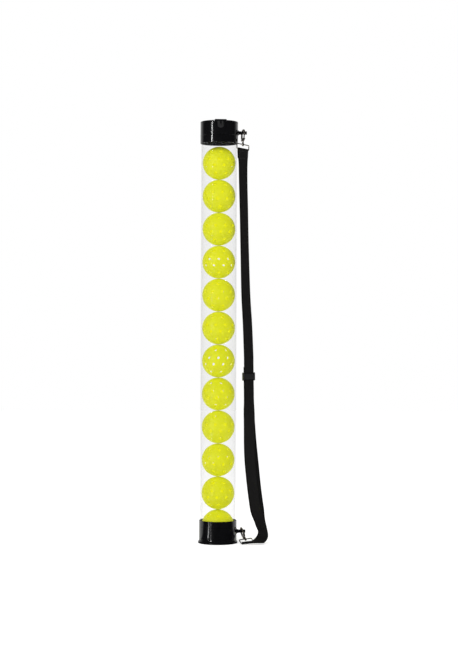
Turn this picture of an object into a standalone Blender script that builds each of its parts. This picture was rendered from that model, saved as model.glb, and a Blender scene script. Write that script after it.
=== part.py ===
"""Pickleball pickup tube with its shoulder strap, in metres, +Z up.

A clear tube stands on a one-way bottom cap and holds a column of balls. A
hinged lid closes the top cap. Each cap has a side post, and a snap hook on
each post carries one end of the webbing strap.

Everything is modelled about the tube's axis, with +X towards the strap and
-Y towards the front. The last step moves it all so that the origin lies at
the bottom centre of the whole object.
"""

import math

import bmesh
import bpy
import numpy as np
from mathutils import Matrix, Vector

# Fits shared by all neighbouring pieces
FIT = 0.0003
OVERLAP = 0.0006
ROUND_SEGMENTS = 36
SMALL_SEGMENTS = 12
PIN_SEGMENTS = 8

# Balls
BALL_DIAMETER = 0.0737
BALL_WALL = 0.0019
BALL_COUNT = 12
BALL_HOLE_DIAMETER = 0.0072
BALL_FLOOR_CLEARANCE = 0.001
BALL_HOLE_SIDES = 5
BALL_TURN = 2.3

# Tube
BALL_PLAY = 0.00215
TUBE_WALL = 0.0015
HEADROOM = 0.0523

# Caps and foot
CAP_WALL = 0.0015
BOTTOM_CAP_HEIGHT = 0.051
TOP_CAP_HEIGHT = 0.0456
FOOT_FLARE = 0.0019
FOOT_HEIGHT = 0.004
FOOT_CHAMFER = 0.0006
EDGE_CHAMFER = 0.0005
FOOT_FILLET = 0.0045
FOOT_FILLET_MIDDLE = (0.3, 0.0015)
LIP_HEIGHT = 0.006
LIP_CHAMFER_HEIGHT = 0.002
LIP_STEP = 0.0004
SEAT_STEP = 0.0002
LEDGE_BOTTOM = 0.028
TUBE_SEAT = 0.030
COLLAR_SEAM_DROP = 0.0146
COLLAR_SEAM_WIDTH = 0.0008
COLLAR_SEAM_DEPTH = 0.0004
MOUTH_DEPTH = 0.027
CAP_GROOVE_DROP = 0.029
CAP_GROOVE_HEIGHT = 0.001
CAP_GROOVE_DEPTH = 0.0006
CAP_BEAD_HEIGHT = 0.0017
CAP_BEAD_PROUD = 0.00035

# Side posts that carry the snap hooks
POST_HOOK_REACH = 0.0112
POST_ROOT_RADIUS = 0.007
POST_NECK_RADIUS = 0.0035
POST_KNOB_RADIUS = 0.00385
POST_KNOB_REACH = 0.0085
POST_ROOT_STEP = 0.0012
POST_ROOT_TAPER = 0.74
POST_FLARE_LENGTH = 0.0034
POST_FLARE_STEP = 0.0004
POST_NECK_START = 0.0015
POST_NECK_END = 0.0025
POST_KNOB_SLOPE = 0.0013
POST_KNOB_CHAMFER = 0.0008
BOTTOM_POST_HEIGHT = 0.026
TOP_POST_RISE = 0.0246

# Ring with one-way fingers
FINGER_COUNT = 8
FINGER_WIDTH = 0.010
FINGER_LENGTH = 0.0054
FINGER_THICKNESS = 0.0012
FINGER_REST_ANGLE = math.radians(35.0)

# Lid and its hinge
LID_THICKNESS = 0.0031
LID_TURN = math.radians(4.6)
LID_EDGE_ROUND = 0.0012
PLUG_DEPTH = 0.004
PLUG_WALL = 0.002
PAD_WIDTH = 0.026
PAD_LENGTH = 0.013
PAD_PROUD = 0.0013
TONGUE_WIDTH = 0.0153
TONGUE_LENGTH = 0.0165
TONGUE_THICKNESS = 0.0013
KNUCKLE_RADIUS = 0.003
KNUCKLE_WIDTH = 0.012
LUG_WIDTH = 0.006
HINGE_DROP = 0.0013
HINGE_PIN_RADIUS = 0.0012
HINGE_PIN_PROUD = 0.0027
LUG_ROOT_SHARE = 0.7
LUG_FOOT = 0.010
KNUCKLE_ROOT = 0.004

# Snap hooks, alike at both ends of the strap
HOOK_BAR_RADIUS = 0.0021
HOOK_PLAY = 0.0010
HOOK_INNER_RADIUS = 0.00605
HOOK_NOSE_DROP = 0.0028
HOOK_BASE_DROP = 0.0145
HOOK_BASE_HEIGHT = 0.006
HOOK_BASE_Z = -0.017
HOOK_BASE_CORNER = 0.003
HOOK_BACK_RISE = 0.004
HOOK_BACK_SHARE = 0.8
HOOK_BACK_END = (0.002, -0.001)
HOOK_BASE_MARGIN = 0.0002
SHANK_RADIUS = 0.0019
SHANK_LENGTH = 0.0055
SWIVEL_RADIUS = 0.0011
SWIVEL_HEAD_RADIUS = 0.002
SWIVEL_HEAD_HEIGHT = 0.0012
GATE_PIVOT = (-0.0055, -0.017)
GATE_PIVOT_RADIUS = 0.0018
GATE_TIP_RADIUS = 0.0012
GATE_THICKNESS = 0.002
GATE_PIN_RADIUS = 0.0007
GATE_PIN_LENGTH = 0.0046
GATE_SLOT_BACK = 0.0031
GATE_SLOT_EDGE = -0.012
GATE_SLOT_DROP = 0.0004

# Strap loops that hang on the snap hooks' swivels
LOOP_WIRE_RADIUS = 0.0012
LOOP_INNER_WIDTH = 0.0266
LOOP_HEIGHT = 0.0122
LOOP_CORNER_RADIUS = 0.002
LOOP_BOSS_RADIUS = 0.0027
LOOP_BOSS_HEIGHT = 0.0044
LOOP_BORE_REACH = 0.008

# The way each clip is pulled, its loop lies across and its hook faces
TOP_PULL = (-0.013, -0.302, -0.953)
TOP_ACROSS = (0.915, 0.390, -0.127)
TOP_FACING = (0.940, 0.342, 0.0)
BOTTOM_PULL = (0.297, -0.791, -0.536)
BOTTOM_ACROSS = (0.953, 0.280, 0.080)
BOTTOM_FACING = (1.0, 0.0, 0.0)

# Shoulder strap and slider
STRAP_WIDTH = 0.025
STRAP_THICKNESS = 0.0014
LAYER_GAP = 0.0006
FAN = 0.0032
TOP_TAIL_LENGTH = 0.024
STRAP_STEP = 0.010
SLIDER_HEIGHT_ON_STRAP = 0.371
SLIDER_TAIL = 0.025
SLIDER_LENGTH = 0.018
SLIDER_PANEL_LENGTH = 0.0125
SLIDER_BAR_LENGTH = 0.003
SLIDER_BAR_THICKNESS = 0.0016
SLIDER_RAIL_WIDTH = 0.0022
SLIDER_PLAY = 0.0005
WRAP_STEPS = 6
WRAP_EASE = 0.015

# Heights between which the strap's two lower layers slip sideways
FAN_TOP = 0.290
FAN_TOP_BLEND = 0.120
FAN_LOW = 0.045
FAN_LOW_BLEND = 0.035

# Where the posts stood when the strap's route was measured
ROUTE_HOOK_X = 0.0535
ROUTE_TOP_POST_Z = 0.920
ROUTE_STRETCH_LOW = 0.43
ROUTE_STRETCH = 0.42

# Radii and heights that follow from the sizes above
BALL_RADIUS = BALL_DIAMETER / 2
BALL_PITCH = BALL_DIAMETER + FIT
FIRST_BALL_Z = BALL_FLOOR_CLEARANCE + BALL_RADIUS
TUBE_INNER = BALL_RADIUS + BALL_PLAY
TUBE_OUTER = TUBE_INNER + TUBE_WALL
CAP_BORE = TUBE_OUTER + FIT
CAP_OUTER = CAP_BORE + CAP_WALL
LIP_RADIUS = TUBE_INNER + LIP_STEP
LEDGE_RADIUS = TUBE_INNER + SEAT_STEP
RING_SEAT = CAP_BORE + SEAT_STEP
LID_BOTTOM = BALL_FLOOR_CLEARANCE + BALL_COUNT * BALL_PITCH + HEADROOM
CAP_TOP = LID_BOTTOM - FIT
STOP_Z = CAP_TOP - MOUTH_DEPTH
TUBE_TOP = STOP_Z - FIT
LID_TOP = LID_BOTTOM + LID_THICKNESS
HOOK_X = CAP_OUTER + POST_HOOK_REACH
TOP_POST_Z = CAP_TOP - TOP_CAP_HEIGHT + TOP_POST_RISE
HINGE_Y = CAP_OUTER + KNUCKLE_RADIUS + FIT
HINGE_Z = LID_BOTTOM - HINGE_DROP
FLAT_SHRINK = math.cos(math.pi / ROUND_SEGMENTS)
HOOK_BEND = HOOK_INNER_RADIUS + HOOK_BAR_RADIUS
HOOK_MIDDLE = POST_NECK_RADIUS + HOOK_PLAY - HOOK_INNER_RADIUS
LOOP_TOP_Z = HOOK_BASE_Z - HOOK_BASE_HEIGHT / 2 - SHANK_LENGTH - FIT - LOOP_BOSS_HEIGHT / 2

# Turns Z onto X
ABOUT_X = Matrix.Rotation(math.pi / 2, 4, "Y")


def clear_scene():
    for item in list(bpy.data.objects):
        bpy.data.objects.remove(item)


def look(name, color, roughness, metallic=0.0, alpha=1.0):
    """A plain Principled material."""
    material = bpy.data.materials.new(name)
    material.use_nodes = True
    shader = material.node_tree.nodes["Principled BSDF"]
    shader.inputs["Base Color"].default_value = (*color, 1.0)
    shader.inputs["Roughness"].default_value = roughness
    shader.inputs["Metallic"].default_value = metallic
    shader.inputs["Alpha"].default_value = alpha
    return material


def add_object(name, bm, material):
    """Turns a bmesh into an object with merged points and faces turned out."""
    bmesh.ops.remove_doubles(bm, verts=bm.verts, dist=1e-7)
    bmesh.ops.recalc_face_normals(bm, faces=bm.faces)
    mesh = bpy.data.meshes.new(name)
    bm.to_mesh(mesh)
    bm.free()
    mesh.materials.append(material)
    mesh.shade_smooth()
    mesh.set_sharp_from_angle(angle=math.radians(35.0))
    item = bpy.data.objects.new(name, mesh)
    bpy.context.collection.objects.link(item)
    return item


def combine(target, tool, operation):
    """Joins or cuts the target with the tool, which is then removed."""
    modifier = target.modifiers.new(tool.name, "BOOLEAN")
    modifier.object = tool
    modifier.operation = operation
    modifier.solver = "EXACT"
    bpy.context.view_layer.update()
    depsgraph = bpy.context.evaluated_depsgraph_get()
    mesh = bpy.data.meshes.new_from_object(target.evaluated_get(depsgraph))
    target.modifiers.clear()
    target.data = mesh
    bpy.data.objects.remove(tool)


def set_origin(item, place):
    """Puts an object's origin at a place without moving its shape."""
    shift = Matrix.Translation(place)
    item.data.transform(shift.inverted())
    item.matrix_world = shift


def turned(name, outline, material, segments=ROUND_SEGMENTS, solid=False, turn=Matrix()):
    """Spins an outline of (radius, height) points about Z.

    A ring's outline is closed. A solid's runs from the axis to the axis.
    """
    bm = bmesh.new()
    points = [bm.verts.new((radius, 0.0, height)) for radius, height in outline]
    edges = [bm.edges.new(pair) for pair in zip(points, points[1:])]
    if not solid:
        edges.append(bm.edges.new((points[-1], points[0])))
    bmesh.ops.spin(bm, geom=points + edges, axis=(0, 0, 1), cent=(0, 0, 0),
                   angle=math.tau, steps=segments)
    bmesh.ops.remove_doubles(bm, verts=bm.verts, dist=1e-6)
    bm.transform(turn)
    return add_object(name, bm, material)


def block(name, low, high, material):
    """A box between two corners."""
    bm = bmesh.new()
    low = Vector(low)
    high = Vector(high)
    size = high - low
    place = Matrix.Translation((low + high) / 2) @ Matrix.Diagonal((*size, 1.0))
    bmesh.ops.create_cube(bm, size=1.0, matrix=place)
    return add_object(name, bm, material)


def rod(name, radius, low, high, material, segments=SMALL_SEGMENTS, turn=Matrix()):
    """A plain round bar along Z before it is turned."""
    outline = [(0.0, high), (radius, high), (radius, low), (0.0, low)]
    return turned(name, outline, material, segments, solid=True, turn=turn)


def plate(name, outline, half_thickness, material):
    """An outline of (y, z) points extruded both ways along X."""
    bm = bmesh.new()
    points = [bm.verts.new((-half_thickness, y, z)) for y, z in outline]
    face = bm.faces.new(points)
    pushed = bmesh.ops.extrude_face_region(bm, geom=[face])
    moved = [item for item in pushed["geom"] if isinstance(item, bmesh.types.BMVert)]
    bmesh.ops.translate(bm, verts=moved, vec=(2 * half_thickness, 0.0, 0.0))
    return add_object(name, bm, material)


def wire(name, points, radius, material, cyclic=False, resolution=2):
    """A round bar along a line of points."""
    curve = bpy.data.curves.new(name, "CURVE")
    curve.dimensions = "3D"
    curve.bevel_depth = radius
    curve.bevel_resolution = resolution
    curve.use_fill_caps = not cyclic
    spline = curve.splines.new("POLY")
    spline.points.add(len(points) - 1)
    for place, point in zip(spline.points, points):
        place.co = (*point, 1.0)
    spline.use_cyclic_u = cyclic
    guide = bpy.data.objects.new(name + "_path", curve)
    bpy.context.collection.objects.link(guide)
    bpy.context.view_layer.update()
    mesh = bpy.data.meshes.new_from_object(guide)
    bpy.data.objects.remove(guide)
    bm = bmesh.new()
    bm.from_mesh(mesh)
    return add_object(name, bm, material)


def arc(centre, radius, start, end, steps):
    """Points of an arc in degrees, in whatever plane the caller uses."""
    angles = np.radians(np.linspace(start, end, steps + 1))
    return [(centre[0] + radius * math.cos(a), centre[1] + radius * math.sin(a))
            for a in angles]


def make_tube(material):
    outline = [(TUBE_OUTER, TUBE_TOP), (TUBE_OUTER, TUBE_SEAT + FIT),
               (TUBE_INNER, TUBE_SEAT + FIT), (TUBE_INNER, TUBE_TOP)]
    return turned("tube", outline, material)


def side_post(height, material):
    """A post along +X with a flared root, a neck for the hook and a round knob."""
    root = CAP_OUTER + FIT
    end = HOOK_X + POST_KNOB_REACH
    outline = [
        (0.0, root - POST_ROOT_STEP),
        (POST_ROOT_RADIUS, root - POST_ROOT_STEP),
        (POST_ROOT_RADIUS, root),
        (POST_ROOT_RADIUS * POST_ROOT_TAPER, root + POST_ROOT_STEP),
        (POST_KNOB_RADIUS + POST_FLARE_STEP, root + POST_FLARE_LENGTH),
        (POST_NECK_RADIUS, HOOK_X - POST_NECK_START),
        (POST_NECK_RADIUS, HOOK_X + POST_NECK_END),
        (POST_KNOB_RADIUS, HOOK_X + POST_NECK_END + POST_KNOB_SLOPE),
        (POST_KNOB_RADIUS, end - POST_KNOB_CHAMFER),
        (POST_KNOB_RADIUS - POST_KNOB_CHAMFER, end),
        (0.0, end),
    ]
    turn = Matrix.Translation((0.0, 0.0, height)) @ ABOUT_X
    return turned("post", outline, material, SMALL_SEGMENTS, solid=True, turn=turn)


def make_bottom_cap(material):
    seam = BOTTOM_CAP_HEIGHT - COLLAR_SEAM_DROP
    half_seam = COLLAR_SEAM_WIDTH / 2
    groove = CAP_OUTER - COLLAR_SEAM_DEPTH
    foot = CAP_OUTER + FOOT_FLARE
    fillet_share, fillet_rise = FOOT_FILLET_MIDDLE
    outline = [
        (CAP_OUTER, BOTTOM_CAP_HEIGHT),
        (CAP_OUTER, seam + half_seam),
        (groove, seam + half_seam),
        (groove, seam - half_seam),
        (CAP_OUTER, seam - half_seam),
        (CAP_OUTER, FOOT_HEIGHT + FOOT_FILLET),
        (CAP_OUTER + FOOT_FLARE * fillet_share, FOOT_HEIGHT + fillet_rise),
        (foot, FOOT_HEIGHT),
        (foot, FOOT_CHAMFER),
        (foot - FOOT_CHAMFER, 0.0),
        (RING_SEAT, 0.0),
        (LIP_RADIUS, LIP_CHAMFER_HEIGHT),
        (LIP_RADIUS, LIP_HEIGHT),
        (RING_SEAT, LIP_HEIGHT),
        (RING_SEAT, LEDGE_BOTTOM),
        (LEDGE_RADIUS, LEDGE_BOTTOM),
        (LEDGE_RADIUS, TUBE_SEAT),
        (CAP_BORE, TUBE_SEAT),
        (CAP_BORE, BOTTOM_CAP_HEIGHT),
    ]
    cap = turned("bottom_cap", outline, material)
    combine(cap, side_post(BOTTOM_POST_HEIGHT, material), "UNION")
    return cap


def make_retainer(ring_material, finger_material):
    """The ring in the bottom cap and the fingers that hold the balls in."""
    outer = RING_SEAT - FIT
    bottom = LIP_HEIGHT + FIT
    top = LEDGE_BOTTOM - FIT
    outline = [(outer, top), (outer, bottom), (LIP_RADIUS, bottom), (LIP_RADIUS, top)]
    turned("retainer_ring", outline, ring_material)

    half = FINGER_THICKNESS / 2
    seat = LIP_RADIUS * FLAT_SHRINK - FIT
    pivot = math.sqrt(seat ** 2 - (FINGER_WIDTH / 2) ** 2) - half
    tip = pivot - FINGER_LENGTH * math.cos(FINGER_REST_ANGLE)
    reach = BALL_RADIUS + FIT + half
    pivot_z = (FIRST_BALL_Z - math.sqrt(reach ** 2 - tip ** 2)
               - FINGER_LENGTH * math.sin(FINGER_REST_ANGLE))
    ends = arc((0.0, 0.0), half, -90.0, 90.0, 4) + arc((-FINGER_LENGTH, 0.0), half, 90.0, 270.0, 4)
    for number in range(FINGER_COUNT):
        name = f"retainer_finger_{number + 1}"
        finger = plate(name, ends, FINGER_WIDTH / 2, finger_material)
        around = math.tau * (number + 0.5) / FINGER_COUNT
        finger.matrix_world = (
            Matrix.Rotation(around, 4, "Z")
            @ Matrix.Translation((0.0, pivot, pivot_z))
            @ Matrix.Rotation(-FINGER_REST_ANGLE, 4, "X")
        )


def make_ball_mesh(material):
    """A hollow ball: the hull of its hole rims, opened at the holes."""
    bm = bmesh.new()
    rim_angle = math.asin(BALL_HOLE_DIAMETER / BALL_DIAMETER)
    rows = ((11.5, 10), (42.0, 7), (73.0, 3))
    hole_of = {}
    for side in (1, -1):
        for latitude, count in rows:
            for number in range(count):
                turn = math.tau * (number + 0.25 * side) / count
                to_hole = (Matrix.Rotation(turn, 4, "Z")
                           @ Matrix.Rotation(-side * math.radians(latitude), 4, "Y"))
                for corner in range(BALL_HOLE_SIDES):
                    spin = math.tau * corner / BALL_HOLE_SIDES
                    point = Vector((
                        math.cos(rim_angle),
                        math.sin(rim_angle) * math.cos(spin),
                        math.sin(rim_angle) * math.sin(spin),
                    )) * BALL_RADIUS
                    rim = bm.verts.new(to_hole @ point)
                    hole_of[rim] = (side, latitude, number)
    for side in (1, -1):
        pole = bm.verts.new((0.0, 0.0, side * BALL_RADIUS))
        hole_of[pole] = (side, "pole")
    bmesh.ops.convex_hull(bm, input=bm.verts)
    covers = [face for face in bm.faces if len({hole_of[v] for v in face.verts}) == 1]
    bmesh.ops.delete(bm, geom=covers, context="FACES_ONLY")
    bmesh.ops.recalc_face_normals(bm, faces=bm.faces)
    shell = add_object("ball_shell", bm, material)
    solidify = shell.modifiers.new("wall", "SOLIDIFY")
    solidify.thickness = BALL_WALL
    solidify.offset = -1.0
    bpy.context.view_layer.update()
    depsgraph = bpy.context.evaluated_depsgraph_get()
    mesh = bpy.data.meshes.new_from_object(shell.evaluated_get(depsgraph))
    bpy.data.objects.remove(shell)
    return mesh


def make_balls(material):
    """The column of balls, resting pole on pole, each turned about the tube's axis."""
    mesh = make_ball_mesh(material)
    for number in range(BALL_COUNT):
        ball = bpy.data.objects.new(f"ball_{number + 1:02d}", mesh)
        ball.location = (0.0, 0.0, FIRST_BALL_Z + number * BALL_PITCH)
        ball.rotation_euler.z = BALL_TURN * number
        bpy.context.collection.objects.link(ball)


def make_top_cap(material):
    groove_top = CAP_TOP - CAP_GROOVE_DROP
    groove_bottom = groove_top - CAP_GROOVE_HEIGHT
    bead_top = groove_top + CAP_BEAD_HEIGHT
    bead = CAP_OUTER + CAP_BEAD_PROUD
    bottom = CAP_TOP - TOP_CAP_HEIGHT
    outline = [
        (CAP_OUTER - EDGE_CHAMFER, CAP_TOP),
        (CAP_OUTER, CAP_TOP - EDGE_CHAMFER),
        (CAP_OUTER, bead_top),
        (bead, bead_top - EDGE_CHAMFER),
        (bead, groove_top + EDGE_CHAMFER),
        (CAP_OUTER, groove_top),
        (CAP_OUTER - CAP_GROOVE_DEPTH, groove_top),
        (CAP_OUTER - CAP_GROOVE_DEPTH, groove_bottom),
        (CAP_OUTER, groove_bottom),
        (CAP_OUTER, bottom + EDGE_CHAMFER),
        (CAP_OUTER - EDGE_CHAMFER, bottom),
        (CAP_BORE, bottom),
        (CAP_BORE, STOP_Z),
        (TUBE_INNER, STOP_Z),
        (TUBE_INNER, CAP_TOP),
    ]
    cap = turned("top_cap", outline, material)
    combine(cap, side_post(TOP_POST_Z, material), "UNION")
    for side in (-1, 1):
        inner = KNUCKLE_WIDTH / 2 + FIT
        middle = side * (inner + LUG_WIDTH / 2)
        combine(cap, hinge_lug("lug", middle, LUG_WIDTH / 2, -1, material), "UNION")
    bore = hinge_rod("bore", HINGE_PIN_RADIUS + FIT, LUG_WIDTH * 4, material)
    combine(cap, bore, "DIFFERENCE")
    return cap


def hinge_rod(name, radius, half_length, material):
    turn = (Matrix.Rotation(LID_TURN, 4, "Z")
            @ Matrix.Translation((0.0, HINGE_Y, HINGE_Z)) @ ABOUT_X)
    return rod(name, radius, -half_length, half_length, material, SMALL_SEGMENTS, turn)


def hinge_lug(name, middle, half_width, side, material):
    """A rounded lug about the hinge pin. Side -1 roots it in the cap, 1 in the lid."""
    if side < 0:
        root = CAP_OUTER - CAP_WALL * LUG_ROOT_SHARE
        outline = arc((HINGE_Y, HINGE_Z), KNUCKLE_RADIUS, 180.0, -60.0, 10)
        outline += [(root, HINGE_Z - LUG_FOOT), (root, HINGE_Z)]
    else:
        root = CAP_OUTER - KNUCKLE_ROOT
        outline = [(root, LID_BOTTOM + OVERLAP), (root, LID_TOP - OVERLAP)]
        outline += arc((HINGE_Y, HINGE_Z), KNUCKLE_RADIUS, 75.0, -180.0, 12)
        outline += [(HINGE_Y - KNUCKLE_RADIUS * 0.9, LID_BOTTOM + OVERLAP)]
    lug = plate(name, outline, half_width, material)
    lug.matrix_world = (Matrix.Rotation(LID_TURN, 4, "Z")
                        @ Matrix.Translation((middle, 0.0, 0.0)))
    return lug


def make_lid(material):
    """The lid, with its plug, front pad, pull tongue and hinge knuckle."""
    plug = TUBE_INNER - FIT
    outline = [
        (0.0, LID_TOP),
        (CAP_OUTER - LID_EDGE_ROUND, LID_TOP),
        (CAP_OUTER - LID_EDGE_ROUND * 0.3, LID_TOP - LID_EDGE_ROUND * 0.3),
        (CAP_OUTER, LID_TOP - LID_EDGE_ROUND),
        (CAP_OUTER, LID_BOTTOM),
        (plug, LID_BOTTOM),
        (plug, LID_BOTTOM - PLUG_DEPTH),
        (plug - PLUG_WALL, LID_BOTTOM - PLUG_DEPTH),
        (plug - PLUG_WALL, LID_BOTTOM),
        (0.0, LID_BOTTOM),
    ]
    lid = turned("lid", outline, material, solid=True)
    front = CAP_OUTER + FIT + TONGUE_THICKNESS
    pad = block("pad", (-PAD_WIDTH / 2, -front, LID_BOTTOM + OVERLAP),
                (PAD_WIDTH / 2, PAD_LENGTH - front, LID_TOP + PAD_PROUD), material)
    pad.matrix_world = Matrix.Rotation(LID_TURN, 4, "Z")
    combine(lid, pad, "UNION")
    combine(lid, pull_tongue(material), "UNION")
    combine(lid, hinge_lug("knuckle", 0.0, KNUCKLE_WIDTH / 2, 1, material), "UNION")
    bore = hinge_rod("bore", HINGE_PIN_RADIUS + FIT, KNUCKLE_WIDTH, material)
    combine(lid, bore, "DIFFERENCE")
    hinge = Matrix.Rotation(LID_TURN, 4, "Z") @ Vector((0.0, HINGE_Y, HINGE_Z))
    set_origin(lid, hinge)
    return lid


def pull_tongue(material):
    """A curved plate with a round lower end, hanging in front of the cap."""
    columns = 8
    half = TONGUE_WIDTH / 2
    inner = CAP_OUTER + FIT
    outer = inner + TONGUE_THICKNESS
    top = LID_BOTTOM + LID_THICKNESS / 2
    straight = top - TONGUE_LENGTH + half
    bm = bmesh.new()
    rings = []
    for number in range(columns + 1):
        across = -half * math.cos(math.pi * number / columns)
        low = straight - math.sqrt(max(half ** 2 - across ** 2, 0.0))
        low = min(low, top - TONGUE_THICKNESS)
        angle = LID_TURN + across / inner
        ring = []
        for radius, height in ((outer, top), (outer, low), (inner, low), (inner, top)):
            place = (radius * math.sin(angle), -radius * math.cos(angle), height)
            ring.append(bm.verts.new(place))
        rings.append(ring)
    for first, second in zip(rings, rings[1:]):
        for side in range(4):
            after = (side + 1) % 4
            bm.faces.new((first[side], first[after], second[after], second[side]))
    bm.faces.new(rings[0])
    bm.faces.new(rings[-1])
    return add_object("tongue", bm, material)


def axes_frame(origin, along, across):
    """A frame whose -Z runs along the pull and whose X lies nearest to across."""
    up = -Vector(along).normalized()
    side = Vector(across)
    side = (side - up * side.dot(up)).normalized()
    turn = Matrix((side, up.cross(side), up)).transposed()
    return Matrix.Translation(origin) @ turn.to_4x4()


def hook_body(name, material):
    """The cast hook: eye, back, base with a gate slot, shank and swivel."""
    end_y, end_rise = HOOK_BACK_END
    line = [(-HOOK_BEND, HOOK_MIDDLE - HOOK_NOSE_DROP)]
    line += arc((0.0, HOOK_MIDDLE), HOOK_BEND, 180.0, 0.0, 10)
    line += [(HOOK_BEND, HOOK_BACK_RISE - HOOK_BASE_DROP), (HOOK_BEND * HOOK_BACK_SHARE, -HOOK_BASE_DROP)]
    line += [(end_y, HOOK_BASE_Z + end_rise)]
    hook = wire(name, [(0.0, y, z) for y, z in line], HOOK_BAR_RADIUS, material)
    half = HOOK_BEND + HOOK_BASE_MARGIN
    corner = HOOK_BASE_CORNER
    base_low = HOOK_BASE_Z - HOOK_BASE_HEIGHT / 2
    base_high = HOOK_BASE_Z + HOOK_BASE_HEIGHT / 2
    base = [(-half, base_high - corner / 3), (-half, base_low + corner), (-corner, base_low),
            (corner, base_low), (half, base_low + corner), (half, base_high), (-corner, base_high)]
    combine(hook, plate("base", base, HOOK_BAR_RADIUS, material), "UNION")
    shank_low = base_low - SHANK_LENGTH
    combine(hook, rod("shank", SHANK_RADIUS, shank_low, HOOK_BASE_Z, material), "UNION")
    head_top = shank_low - LOOP_BOSS_HEIGHT - 2 * FIT
    head_low = head_top - SWIVEL_HEAD_HEIGHT
    swivel = [(0.0, HOOK_BASE_Z), (SWIVEL_RADIUS, HOOK_BASE_Z), (SWIVEL_RADIUS, head_top),
              (SWIVEL_HEAD_RADIUS, head_top), (SWIVEL_HEAD_RADIUS, head_low), (0.0, head_low)]
    combine(hook, turned("swivel", swivel, material, SMALL_SEGMENTS, solid=True), "UNION")
    room = GATE_THICKNESS / 2 + FIT
    slot_low = (-room, GATE_SLOT_EDGE, GATE_PIVOT[1] - GATE_PIVOT_RADIUS - GATE_SLOT_DROP)
    slot_high = (room, GATE_PIVOT[0] + GATE_SLOT_BACK, GATE_SLOT_EDGE)
    slot = block("slot", slot_low, slot_high, material)
    combine(hook, slot, "DIFFERENCE")
    combine(hook, gate_rod("bore", GATE_PIN_RADIUS + FIT, GATE_PIN_LENGTH, material), "DIFFERENCE")
    return hook


def gate_rod(name, radius, half_length, material):
    """A round bar along X about the gate's pivot."""
    turn = Matrix.Translation((0.0, *GATE_PIVOT)) @ ABOUT_X
    return rod(name, radius, -half_length, half_length, material, PIN_SEGMENTS, turn)


def gate_tip():
    """Where the gate's round tip lies, just under the hook's nose."""
    return -HOOK_BEND, HOOK_MIDDLE - HOOK_NOSE_DROP - FIT - GATE_TIP_RADIUS


def hook_gate(name, material):
    """The sprung gate, drawn about its own pivot so that its origin is there."""
    tip_y, tip_z = gate_tip()
    across = tip_y - GATE_PIVOT[0]
    rise = tip_z - GATE_PIVOT[1]
    lean = math.degrees(math.atan2(-across, rise))
    outline = arc((0.0, 0.0), GATE_PIVOT_RADIUS, 180.0 + lean, 360.0 + lean, 6)
    outline += arc((across, rise), GATE_TIP_RADIUS, lean, 180.0 + lean, 4)
    gate = plate(name, outline, GATE_THICKNESS / 2, material)
    reach = GATE_THICKNESS * 2
    bore = rod("bore", GATE_PIN_RADIUS + FIT, -reach, reach, material, PIN_SEGMENTS, ABOUT_X)
    combine(gate, bore, "DIFFERENCE")
    return gate


def strap_loop(name, material):
    """A rounded wire loop with the swivel's boss on its top bar."""
    half = LOOP_INNER_WIDTH / 2 + LOOP_WIRE_RADIUS
    top = LOOP_TOP_Z
    low = LOOP_TOP_Z - LOOP_HEIGHT
    bend = LOOP_CORNER_RADIUS
    line = arc((half - bend, top - bend), bend, 90.0, 0.0, 3)
    line += arc((half - bend, low + bend), bend, 0.0, -90.0, 3)
    line += arc((bend - half, low + bend), bend, -90.0, -180.0, 3)
    line += arc((bend - half, top - bend), bend, 180.0, 90.0, 3)
    loop = wire(name, [(x, 0.0, z) for x, z in line], LOOP_WIRE_RADIUS, material, cyclic=True)
    half_boss = LOOP_BOSS_HEIGHT / 2
    boss = rod("boss", LOOP_BOSS_RADIUS, top - half_boss, top + half_boss, material)
    combine(loop, boss, "UNION")
    bore = rod("bore", SWIVEL_RADIUS + FIT, top - LOOP_BORE_REACH, top + LOOP_BORE_REACH, material)
    combine(loop, bore, "DIFFERENCE")
    return loop


def make_clip(end, origin, along, facing, across, material):
    """A snap hook on its post with its gate, gate pin and strap loop."""
    hooked = axes_frame(origin, along, facing)
    looped = axes_frame(origin, along, across)
    hook_body(f"{end}_snap_hook", material).matrix_world = hooked
    pivot = hooked @ Matrix.Translation((0.0, *GATE_PIVOT))
    hook_gate(f"{end}_hook_gate", material).matrix_world = pivot
    gate_rod(f"{end}_gate_pin", GATE_PIN_RADIUS, GATE_PIN_LENGTH / 2, material).matrix_world = hooked
    strap_loop(f"{end}_strap_loop", material).matrix_world = looped
    return looped


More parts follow.
